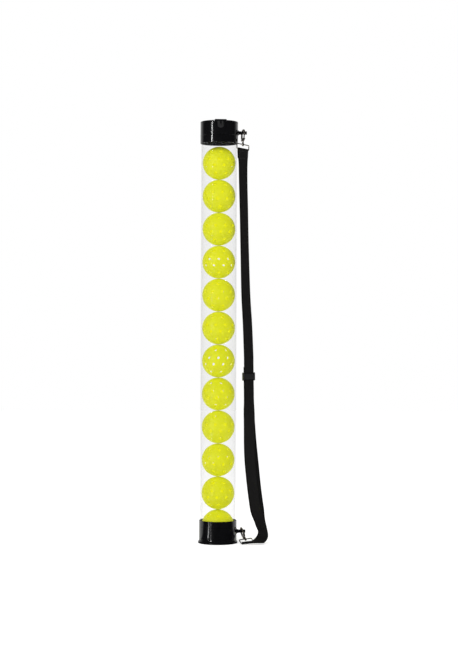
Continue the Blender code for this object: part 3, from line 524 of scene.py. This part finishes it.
def softened(node, name, finish, body, slot, width, flat=4.0, smooth=48.0):
    """Copies a solid, joins its faces below one angle and shades below another."""
    piece = bpy.data.objects.new(name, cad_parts[node].data.copy())
    bpy.context.collection.objects.link(piece)
    bpy.ops.object.select_all(action="DESELECT")
    piece.select_set(True)
    bpy.context.view_layer.objects.active = piece
    bpy.ops.object.mode_set(mode="EDIT")
    bpy.ops.mesh.select_all(action="SELECT")
    bpy.ops.mesh.remove_doubles(threshold=2e-6)
    bpy.ops.mesh.dissolve_limited(angle_limit=math.radians(flat))
    bpy.ops.object.mode_set(mode="OBJECT")
    bevel = piece.modifiers.new("edge", "BEVEL")
    bevel.width = width
    bevel.segments = 2
    bevel.limit_method = "ANGLE"
    bevel.angle_limit = BEVEL_ABOVE
    bpy.ops.object.modifier_apply(modifier=bevel.name)
    bpy.ops.object.shade_smooth_by_angle(angle=math.radians(smooth))
    dress(piece, finish, body, slot, node)
    print(name, len(piece.data.polygons), "faces")


for end in ("top", "bottom"):
    softened(f"{end}_snap_hook", f"{end}_hook_casting", plated, f"{end}_hook", "steel", 0.00015)
    softened(f"{end}_gate_pin", f"{end}_gate_rivet", plated, f"{end}_hook", "steel", 0.00012)
    softened(f"{end}_hook_gate", f"{end}_gate_lever", plated, f"{end}_gate", "steel", 0.0002)
    softened(f"{end}_strap_loop", f"{end}_loop_wire", plated, "strap_body", "steel", 0.0001)
softened("lid", "lid_moulding", black, "lid_body", "black_plastic", 0.0004, 2.0, 40.0)
softened("lid_hinge_pin", "hinge_pin_rod", plated, "frame", "steel", 0.0002)
softened("retainer_ring", "finger_ring", springy, "frame", "finger_plastic", 0.0002, 1.0)
for number in range(1, 9):
    softened(f"retainer_finger_{number}", f"finger_{number}_leaf", springy, f"finger_{number}",
             "finger_plastic", 0.0001)

# %% [markdown]
# Each ball is a hollow shell with forty round holes, in rows about its
# pole. One cutter that holds all the holes is pressed through the shell in
# a single Boolean, which keeps every rim crisp. The balls rest pole on
# pole, and each is turned over a third of a turn further than the one below.

# %% Cutter for the holes
ball_low, ball_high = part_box("ball_01")
BALL_RADIUS = (ball_high[2] - ball_low[2]) / 2
HOLE_RADIUS = 0.0036
HOLE_ROWS = ((11.5, 10), (42.0, 7), (73.0, 3))
HOLE_SIDES = 20
ROD_LENGTH = 0.012


def ball_cutter():
    """One object with a short rod through the wall at each hole."""
    rods = []
    for side in (1, -1):
        for latitude, count in HOLE_ROWS:
            for number in range(count):
                around = math.tau * (number + 0.25 * side) / count
                aim = (Matrix.Rotation(around, 4, "Z")
                       @ Matrix.Rotation(-side * math.radians(latitude), 4, "Y")
                       @ Matrix.Rotation(math.pi / 2, 4, "Y"))
                bpy.ops.mesh.primitive_cylinder_add(vertices=HOLE_SIDES, radius=HOLE_RADIUS,
                                                    depth=ROD_LENGTH)
                rod = bpy.context.object
                rod.matrix_world = aim @ Matrix.Translation((0.0, 0.0, BALL_RADIUS))
                rods.append(rod)
    bpy.ops.object.select_all(action="DESELECT")
    for rod in rods:
        rod.select_set(True)
    bpy.context.view_layer.objects.active = rods[0]
    bpy.ops.object.join()
    bpy.ops.object.transform_apply(location=True, rotation=True, scale=True)
    print("cutter", len(rods), "rods")
    return rods[0]


# %% Pierced shell
BALL_WALL = 0.0019
GLOW_DEPTH = BALL_WALL * 0.9


def pierced_shell():
    """A hollow ball at the origin with its holes cut."""
    bpy.ops.mesh.primitive_ico_sphere_add(subdivisions=6, radius=BALL_RADIUS)
    shell = bpy.context.object
    wall = shell.modifiers.new("wall", "SOLIDIFY")
    wall.thickness = BALL_WALL
    wall.offset = -1.0
    cutter = ball_cutter()
    holes = shell.modifiers.new("holes", "BOOLEAN")
    holes.object = cutter
    holes.operation = "DIFFERENCE"
    holes.solver = "EXACT"
    bpy.ops.object.select_all(action="DESELECT")
    shell.select_set(True)
    bpy.context.view_layer.objects.active = shell
    bpy.ops.object.modifier_apply(modifier=wall.name)
    bpy.ops.object.modifier_apply(modifier=holes.name)
    bpy.data.objects.remove(cutter)
    print("ball triangles", sum(len(face.vertices) - 2 for face in shell.data.polygons))
    return shell


def light_inside(ball, centre):
    """Gives the faces of the hollow the finish that glows with the light behind them."""
    ball.data.materials.append(ball_inside.material)
    for face in ball.data.polygons:
        if (face.center - centre).length < BALL_RADIUS - GLOW_DEPTH:
            face.material_index = 1


# %% The column of balls
BALLS = 12
BALL_TURN = 2.3
BALL_SMOOTH = math.radians(35)
shell = pierced_shell()
for number in range(BALLS):
    node = f"ball_{number + 1:02d}"
    low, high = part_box(node)
    centre = Vector((AXIS_X, AXIS_Y, (low[2] + high[2]) / 2))
    ball = shell
    if number < BALLS - 1:
        ball = shell.copy()
        ball.data = shell.data.copy()
        bpy.context.collection.objects.link(ball)
    ball.name = f"{node}_shell"
    ball.matrix_world = Matrix.Translation(centre) @ Matrix.Rotation(BALL_TURN * number, 4, "Z")
    settle(ball)
    bpy.ops.object.shade_smooth_by_angle(angle=BALL_SMOOTH)
    dress(ball, ball_yellow, "ball_column", "ball_plastic", node)
    light_inside(ball, centre)
print("top ball at height", round(centre.z, 4))

# %% [markdown]
# The strap is one length of webbing: from a short sewn tail at the top
# loop, round its bar, down the front, round the lower loop's bar and back
# up to the adjuster. Its route is a list of middles and of directions
# across the webbing, which say where it twists. Its points are measured
# from the tube's axis and from the floor.

# %% Strap route
WEB_WIDTH = 0.025
WEB_THICKNESS = 0.0014
WEB_STEP = 0.0025
ROUTE = [
    ((0.05298, -0.01214, 0.88168), (0.91244, 0.38635, -0.13488)),
    ((0.0529, -0.0138, 0.868), (0.915, 0.400, 0.0)),
    ((0.0530, -0.0140, 0.850), (0.80, 0.60, 0.0)),
    ((0.0534, -0.0140, 0.810), (0.76, 0.65, 0.0)),
    ((0.0551, -0.0142, 0.747), (0.75, 0.66, 0.0)),
    ((0.0570, -0.0146, 0.666), (0.75, 0.66, 0.0)),
    ((0.0602, -0.0150, 0.558), (0.81, 0.59, 0.0)),
    ((0.0642, -0.0154, 0.491), (0.84, 0.54, 0.0)),
    ((0.0670, -0.0158, 0.424), (0.86, 0.51, 0.0)),
    ((0.0674, -0.0159, 0.400), (0.86, 0.51, 0.0)),
    ((0.0679, -0.0160, 0.370), (0.86, 0.51, 0.0)),
    ((0.0684, -0.0161, 0.340), (0.86, 0.51, 0.0)),
    ((0.0688, -0.0162, 0.315), (0.88, 0.47, 0.0)),
    ((0.0698, -0.0164, 0.273), (1.00, 0.05, 0.0)),
    ((0.0728, -0.0166, 0.210), (1.00, 0.0, 0.05)),
    ((0.0785, -0.0168, 0.147), (1.00, 0.0, 0.10)),
    ((0.0843, -0.0168, 0.100), (0.99, 0.0, 0.14)),
    ((0.0895, -0.0160, 0.068), (0.97, 0.0, 0.18)),
    ((0.0962, -0.0120, 0.042), (0.93, 0.10, -0.05)),
    ((0.1015, -0.0090, 0.0205), (0.88, -0.10, -0.38)),
    ((0.0950, -0.0240, 0.0095), (0.82, -0.48, -0.31)),
    ((0.0870, -0.0355, 0.0060), (0.95, -0.10, -0.06)),
    ((0.0745, -0.0410, 0.0050), (0.95, 0.20, 0.03)),
    ((0.06543, -0.03178, 0.00447), (0.95095, 0.29585, 0.09033)),
]
CURVE_STEPS = 24


def even_line(rows, step):
    """Points and directions at even steps along a smooth curve through the rows."""
    points = np.array([[*place, *Vector(across).normalized()] for place, across in rows])
    points[:, :2] += (AXIS_X, AXIS_Y)
    points = np.vstack([2 * points[0] - points[1], points, 2 * points[-1] - points[-2]])
    fine = []
    for i in range(1, len(points) - 2):
        before, start, end, after = points[i - 1:i + 3]
        for t in np.arange(CURVE_STEPS) / CURVE_STEPS:
            fine.append(0.5 * (2 * start + (end - before) * t
                               + (2 * before - 5 * start + 4 * end - after) * t ** 2
                               + (3 * start - before - 3 * end + after) * t ** 3))
    fine = np.array(fine + [points[-2]])
    steps = np.linalg.norm(np.diff(fine[:, :3], axis=0), axis=1)
    lengths = np.concatenate([[0.0], np.cumsum(steps)])
    even = np.linspace(0.0, lengths[-1], int(round(lengths[-1] / step)) + 1)
    return np.column_stack([np.interp(even, lengths, fine[:, k]) for k in range(6)])


# %% Stations along the strap
line = even_line(ROUTE, WEB_STEP)
headings = np.gradient(line[:, :3], axis=0)
stations = []
for row, heading in zip(line, headings):
    heading = Vector(heading).normalized()
    side = Vector(row[3:]).normalized()
    stations.append((Vector(row[:3]), side, heading.cross(side).normalized(), heading))
print("stations", len(stations))

# %% [markdown]
# The front and back layers run close together. At each loop they part to
# go round its bar, and low down they fan out sideways a little, as a
# hanging strap's layers do.

# %% Layers and half turns
LAYER_GAP = 0.0006
LOOP_WIRE = 0.0012
WRAP_REACH = LOOP_WIRE + FIT + WEB_THICKNESS / 2
WRAP_EASE = 0.015
FAN = 0.0032
FAN_START, FAN_RUN = 0.290, 0.120
FAN_END, FAN_FADE = 0.045, 0.035


def ease(value):
    """A soft step from 0 to 1."""
    value = min(max(value, 0.0), 1.0)
    return value * value * (3 - 2 * value)


def layer(face, number):
    """Middle, across and outward of the front or back layer at a station."""
    place, side, out, _ = stations[number]
    from_end = min(number, len(stations) - 1 - number) * WEB_STEP
    flat = (WEB_THICKNESS + LAYER_GAP) / 2
    gap = flat + (WRAP_REACH - flat) * (1 - ease(from_end / WRAP_EASE))
    spread = ease((FAN_START - place.z) / FAN_RUN) * ease((place.z - FAN_END) / FAN_FADE)
    return place + out * (face * gap) - side * (face * FAN * spread), side, out * face


def wrap(number, way, steps=12):
    """The half turn of webbing round a loop's bar."""
    place, bar, out, heading = stations[number]
    beyond = out.cross(bar).normalized()
    if beyond.dot(heading) * way < 0:
        beyond = -beyond
    turn = []
    for step in range(1, steps):
        angle = math.pi * step / steps
        outward = out * math.cos(angle) + beyond * math.sin(angle)
        turn.append((place + outward * WRAP_REACH, bar, outward))
    return turn


# %% [markdown]
# The webbing's section is a flat bar with soft round edges, wide enough to
# catch a thin line of light. Each ring of points is joined to the next, and
# the map stores metres round and along, which the weave follows.

# %% Strap ribbon
def section(rounds=3):
    """Points of the webbing's section as (across, out), and the way round it."""
    half = WEB_WIDTH / 2
    thick = WEB_THICKNESS / 2
    points = [(across, thick) for across in np.linspace(-(half - thick), half - thick, 9)]
    for step in range(1, rounds + 1):
        angle = math.pi / 2 - math.pi * step / (rounds + 1)
        points.append((half - thick + thick * math.cos(angle), thick * math.sin(angle)))
    points += [(-across, -out) for across, out in points]
    return points


def ribbon(name, path):
    """Webbing along a path of (middle, across, outward) rows."""
    ring_points = section()
    sides = [math.dist(a, b) for a, b in zip(ring_points, ring_points[1:] + ring_points[:1])]
    around = np.concatenate([[0.0], np.cumsum(sides)])
    travelled = [0.0]
    for (a, _, _), (b, _, _) in zip(path, path[1:]):
        travelled.append(travelled[-1] + (b - a).length)
    bm = bmesh.new()
    uv_layer = bm.loops.layers.uv.new("web")
    rings = []
    for place, side, outward in path:
        rings.append([bm.verts.new(place + side * across + outward * out) for across, out in ring_points])
    count = len(ring_points)
    for number, (first, second) in enumerate(zip(rings, rings[1:])):
        start, end = travelled[number:number + 2]
        for k in range(count):
            after = (k + 1) % count
            face = bm.faces.new((first[k], first[after], second[after], second[k]))
            face.smooth = True
            corners = ((around[k], start), (around[k + 1], start), (around[k + 1], end), (around[k], end))
            for loop, place in zip(face.loops, corners):
                loop[uv_layer].uv = place
    for ring in (rings[0], rings[-1]):
        bm.faces.new(ring)
    bmesh.ops.recalc_face_normals(bm, faces=bm.faces)
    mesh = bpy.data.meshes.new(name)
    bm.to_mesh(mesh)
    bm.free()
    piece = bpy.data.objects.new(name, mesh)
    bpy.context.collection.objects.link(piece)
    print(name, "length", round(travelled[-1], 3))
    return piece


# %% Strap
TAIL_LENGTH = 0.020
BACK_STOP = 0.020
slider_low, slider_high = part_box("strap_slider")
slider_z = (slider_low[2] + slider_high[2]) / 2
slider_at = min(range(len(stations)), key=lambda n: abs(stations[n][0].z - slider_z))
last = len(stations) - 1
tail_end = int(round(TAIL_LENGTH / WEB_STEP))
back_end = slider_at - int(round(BACK_STOP / WEB_STEP))
path = [layer(-1, number) for number in range(tail_end, -1, -1)]
path += reversed(wrap(0, -1))
path += [layer(1, number) for number in range(last + 1)]
path += wrap(last, 1)
path += [layer(-1, number) for number in range(last, back_end - 1, -1)]
dress(ribbon("webbing_strap", path), webbing, "strap_body", "webbing", "shoulder_strap")

# %% [markdown]
# The adjuster is a plastic frame: a front panel, two rear bars that the
# webbing is threaded over, and a rounded rail at each side. Every bar is a
# block with bevelled edges, drawn about the adjuster's own middle and then
# turned to lie on the strap.

# %% Adjuster
ADJUSTER_INSIDE = WEB_WIDTH / 2 + 0.0005
ADJUSTER_OUTSIDE = ADJUSTER_INSIDE + 0.0022
ADJUSTER_CLEAR = WEB_THICKNESS + LAYER_GAP / 2 + FIT
ADJUSTER_DEPTH = ADJUSTER_CLEAR + 0.0016
ADJUSTER_HALF = 0.0090
BAR_REACH = ADJUSTER_INSIDE + 0.0008
BAR_LENGTH = 0.0030
PANEL_HALF = 0.00625
RAIL_ROUND = 0.0010
BAR_ROUND = 0.0005


def soft_block(low, high, width):
    """A block between two corners with all its edges rounded."""
    bpy.ops.mesh.primitive_cube_add(size=1.0, location=[(a + b) / 2 for a, b in zip(low, high)])
    block = bpy.context.object
    block.scale = [b - a for a, b in zip(low, high)]
    bpy.ops.object.transform_apply(location=True, scale=True)
    edges = block.modifiers.new("edges", "BEVEL")
    edges.width = width
    edges.segments = 4
    bpy.ops.object.modifier_apply(modifier=edges.name)
    return block


blocks = []
for side in (-1, 1):
    inner, outer = sorted((side * ADJUSTER_INSIDE, side * ADJUSTER_OUTSIDE))
    blocks.append(soft_block((inner, -ADJUSTER_DEPTH, -ADJUSTER_HALF),
                             (outer, ADJUSTER_DEPTH, ADJUSTER_HALF), RAIL_ROUND))
blocks.append(soft_block((-BAR_REACH, -ADJUSTER_DEPTH, -PANEL_HALF),
                         (BAR_REACH, -ADJUSTER_CLEAR, PANEL_HALF), BAR_ROUND))
for low in (-ADJUSTER_HALF, ADJUSTER_HALF - BAR_LENGTH):
    blocks.append(soft_block((-BAR_REACH, ADJUSTER_CLEAR, low),
                             (BAR_REACH, ADJUSTER_DEPTH, low + BAR_LENGTH), BAR_ROUND))
bpy.ops.object.select_all(action="DESELECT")
for block in blocks:
    block.select_set(True)
bpy.context.view_layer.objects.active = blocks[0]
bpy.ops.object.join()
adjuster = bpy.context.object
adjuster.name = "adjuster_frame"
print("adjuster", len(blocks), "blocks")

# %% Adjuster on the strap
_, sideways, _, heading = stations[slider_at]
upright = -heading
sideways = (sideways - upright * sideways.dot(upright)).normalized()
slider_middle = [(low + high) / 2 for low, high in zip(slider_low, slider_high)]
turn = Matrix((sideways, upright.cross(sideways), upright)).transposed().to_4x4()
adjuster.matrix_world = Matrix.Translation(slider_middle) @ turn
settle(adjuster)
bpy.ops.object.shade_smooth_by_angle(angle=EDGE_SMOOTH)
dress(adjuster, springy, "slider_body", "black_plastic", "strap_slider")
print("adjuster", [round(value * 1000, 1) for value in adjuster.dimensions], "mm")

# %% [markdown]
# The short tail under the top loop is sewn down with a box of thread. Each
# stitch is a low rounded bead that dips at both ends, and one mesh holds
# them all.

# %% Stitching
STITCH_LENGTH = 0.0026
STITCH_PITCH = 0.0034
STITCH_RADIUS = 0.00035
BOX_HALF = 0.0085
thread = Finish("sewing_thread", (0.03, 0.03, 0.033), roughness=0.55)
thread.feed("Roughness", thread.noise(scale=1800.0) * 0.3 + 0.4)
thread.bump(thread.noise(scale=2600.0), strength=0.3, distance=0.0001)


def stitch_rows(face, start, end, marks):
    """Middles and directions of the stitches round a box between two stations."""
    beads = []
    for number in range(start, end, 2):
        place, side, outward = layer(face, number)
        heading = (layer(face, number + 1)[0] - place).normalized()
        top = place + outward * (WEB_THICKNESS / 2)
        beads += [(top + side * mark, heading, outward) for mark in marks]
    for number in (start, end):
        place, side, outward = layer(face, number)
        top = place + outward * (WEB_THICKNESS / 2)
        across = np.arange(marks[0] + STITCH_PITCH / 2, marks[-1], STITCH_PITCH)
        beads += [(top + side * float(mark), side, outward) for mark in across]
    return beads


def stitches(name, beads):
    """One mesh with a flattened, stretched bead for each stitch."""
    bpy.ops.mesh.primitive_uv_sphere_add(segments=8, ring_count=6, radius=STITCH_RADIUS)
    bead = bpy.context.object
    bead.scale = (STITCH_LENGTH / 2 / STITCH_RADIUS, 1.0, 0.8)
    bpy.ops.object.transform_apply(scale=True)
    copies = []
    for place, heading, outward in beads:
        copy = bead.copy()
        copy.data = bead.data.copy()
        bpy.context.collection.objects.link(copy)
        turn = Matrix((heading, outward.cross(heading), outward)).transposed().to_4x4()
        copy.matrix_world = Matrix.Translation(place) @ turn
        copies.append(copy)
    bpy.data.objects.remove(bead)
    bpy.ops.object.select_all(action="DESELECT")
    for copy in copies:
        copy.select_set(True)
    bpy.context.view_layer.objects.active = copies[0]
    bpy.ops.object.join()
    piece = bpy.context.object
    piece.name = name
    settle(piece)
    bpy.ops.object.shade_smooth()
    print(name, len(beads), "stitches")
    return piece


sewing = stitches("tail_stitching", stitch_rows(1, 2, tail_end, (-BOX_HALF, BOX_HALF)))
dress(sewing, thread, "strap_body", "webbing")

# %% [markdown]
# A pale floor stays out of the picture's way. It takes a soft shadow and
# bounces light up onto the foot. An emission lifts it to the white of the
# backdrop: rays from the camera, from shiny pieces and through the tube
# see all of it, and other rays half, so the shadow stays.

# %% Nodes and links
def add_node(tree, kind, settings=None, sockets=None):
    """A new node with its settings, and its inputs set or linked."""
    node = tree.nodes.new(kind)
    for key, value in (settings or {}).items():
        setattr(node, key, value)
    for key, value in (sockets or {}).items():
        if hasattr(value, "is_output"):
            tree.links.new(value, node.inputs[key])
        else:
            node.inputs[key].default_value = value
    return node


# %% Floor
FLOOR_SIZE = 12.0
FLOOR_DROP = 0.0004
FLOOR_LIFT = 0.54
FLOOR_LIFT_SHARE = 0.5
bpy.ops.mesh.primitive_plane_add(size=FLOOR_SIZE, location=(0.0, 0.0, -FLOOR_DROP))
floor = bpy.context.object
floor.name = "studio_floor"
floor_look = bpy.data.materials.new("studio_floor")
floor_look.use_nodes = True
floor_tree = floor_look.node_tree
pale = floor_tree.nodes["Principled BSDF"]
pale.inputs["Base Color"].default_value = (0.96, 0.96, 0.96, 1.0)
pale.inputs["Roughness"].default_value = 0.9
floor_ray = add_node(floor_tree, "ShaderNodeLightPath").outputs
share = FLOOR_LIFT_SHARE
for kind in ("Is Camera Ray", "Is Glossy Ray", "Is Transmission Ray"):
    larger = add_node(floor_tree, "ShaderNodeMath", {"operation": "MAXIMUM"},
                      {0: floor_ray[kind], 1: share})
    share = larger.outputs[0]
lift = add_node(floor_tree, "ShaderNodeMath", {"operation": "MULTIPLY"}, {0: share, 1: FLOOR_LIFT})
glint = add_node(floor_tree, "ShaderNodeEmission", sockets={"Strength": lift.outputs[0]})
whole = add_node(floor_tree, "ShaderNodeAddShader", sockets={0: pale.outputs[0], 1: glint.outputs[0]})
floor_tree.links.new(whole.outputs[0], floor_tree.nodes["Material Output"].inputs[0])
floor.data.materials.append(floor_look)
print("floor lift", FLOOR_LIFT)

# %% [markdown]
# A photographer lays a dark card in front of a glossy black piece to keep
# it black. This one lies on the floor, and only reflections see it.

# %% Dark card
CARD_WIDTH = 6.0
CARD_DEPTH = 3.06
CARD_DISTANCE = 1.5
CARD_DROP = 0.0002
bpy.ops.mesh.primitive_plane_add(size=1.0, location=(AXIS_X, AXIS_Y - CARD_DISTANCE, -CARD_DROP))
flag = bpy.context.object
flag.name = "studio_flag"
flag.scale = (CARD_WIDTH, CARD_DEPTH, 1.0)
for kind in ("camera", "diffuse", "transmission", "shadow"):
    setattr(flag, "visible_" + kind, False)
flag_look = bpy.data.materials.new("studio_flag")
flag_look.use_nodes = True
flag_look.node_tree.nodes["Principled BSDF"].inputs["Base Color"].default_value = (0.01, 0.01, 0.01, 1.0)
flag.data.materials.append(flag_look)
print("card", [round(value, 2) for value in flag.scale])

# %% [markdown]
# Three skies are mixed by the kind of ray. The camera sees white. Shiny
# pieces see a dark room in front and a white backdrop behind, which draws
# the bright rims on the black caps. Everything else gets an even glow.

# %% Sky by ray
WHITE = (1.0, 1.0, 1.0, 1.0)
GLOW = 0.5
ROOM_DARK = 0.035
ROOM_BRIGHT = 0.95
scene = bpy.context.scene
world = bpy.data.worlds.new("studio")
scene.world = world
world.use_nodes = True
sky = world.node_tree
for node in list(sky.nodes):
    sky.nodes.remove(node)


def background(strength):
    """The output of a white background."""
    node = add_node(sky, "ShaderNodeBackground", sockets={"Color": WHITE, "Strength": strength})
    return node.outputs[0]


def mixed(share, first, second):
    """The output of a mix of two shaders."""
    node = add_node(sky, "ShaderNodeMixShader", sockets={0: share, 1: first, 2: second})
    return node.outputs[0]


direction = add_node(sky, "ShaderNodeTexCoord").outputs["Generated"]
split = add_node(sky, "ShaderNodeSeparateXYZ", sockets={"Vector": direction})
behind = add_node(sky, "ShaderNodeMapRange", {"interpolation_type": "SMOOTHSTEP"}, {
    "Value": split.outputs["Y"], "From Min": 0.25, "From Max": 0.75,
    "To Min": ROOM_DARK, "To Max": ROOM_BRIGHT})
ray = add_node(sky, "ShaderNodeLightPath").outputs
direct = add_node(sky, "ShaderNodeMath", {"operation": "MAXIMUM"},
                  {0: ray["Is Camera Ray"], 1: ray["Is Transmission Ray"]})
shiny = mixed(ray["Is Glossy Ray"], background(GLOW), background(behind.outputs[0]))
final = mixed(direct.outputs[0], shiny, background(1.0))
add_node(sky, "ShaderNodeOutputWorld", sockets={0: final})
print("sky nodes", len(sky.nodes))

# %% [markdown]
# One tall strip box at the left front draws the thin line of light down
# the caps. A narrow strip that lies on the floor and faces up carries the
# line on over the foot, and only reflections see either. A large soft panel
# at the upper left models the balls, and a weak one at the right opens the
# shadows.

# %% Lights
def panel(name, place, width, height, power):
    """A rectangular area light."""
    bpy.ops.object.light_add(type="AREA", location=place)
    light = bpy.context.object
    light.name = name
    light.data.shape = "RECTANGLE"
    light.data.size = width
    light.data.size_y = height
    light.data.energy = power
    print(name, power, "W")
    return light


strip_light = panel("strip", (AXIS_X - 1.74, AXIS_Y - 1.80, 0.60), width=0.05, height=2.4, power=48.0)
low_light = panel("low_strip", (AXIS_X - 0.49, AXIS_Y - 0.356, 0.001), width=0.010, height=0.9, power=0.8)
key_light = panel("key", (AXIS_X - 1.1, AXIS_Y - 1.9, 2.3), width=1.6, height=1.6, power=34.0)
fill_light = panel("fill", (AXIS_X + 2.0, AXIS_Y - 1.4, 1.2), width=1.4, height=2.0, power=8.0)
tube_middle = Vector((AXIS_X, AXIS_Y, 0.47))
for light in (strip_light, key_light, fill_light):
    light.rotation_euler = (tube_middle - light.location).to_track_quat("-Z", "Y").to_euler()
low_light.rotation_euler = (math.pi, 0.0, math.radians(-54.0))
for light in (key_light, fill_light):
    light.visible_glossy = False
for light in (strip_light, low_light):
    light.visible_diffuse = False

# %% [markdown]
# The camera is level and square on, 3.7 m away, with a 90 mm lens. It is
# rolled by a fifth of a degree, because the tube leans that much in the
# photograph.

# %% Camera
CAMERA_DISTANCE = 3.7
CAMERA_SIDE = 0.0235
CAMERA_HEIGHT = 0.4786
CAMERA_ROLL = math.radians(0.217)
CAMERA_LENS = 90.0
bpy.ops.object.camera_add(location=(AXIS_X + CAMERA_SIDE, AXIS_Y - CAMERA_DISTANCE, CAMERA_HEIGHT))
camera = bpy.context.object
camera.matrix_world = (Matrix.Translation(camera.location)
                       @ Matrix.Rotation(math.pi / 2, 4, "X") @ Matrix.Rotation(CAMERA_ROLL, 4, "Z"))
camera.data.lens = CAMERA_LENS
camera.data.sensor_width = 36.0
camera.data.sensor_fit = "AUTO"
scene.camera = camera
scene.view_settings.view_transform = "Standard"
print("camera at", [round(value, 3) for value in camera.location])
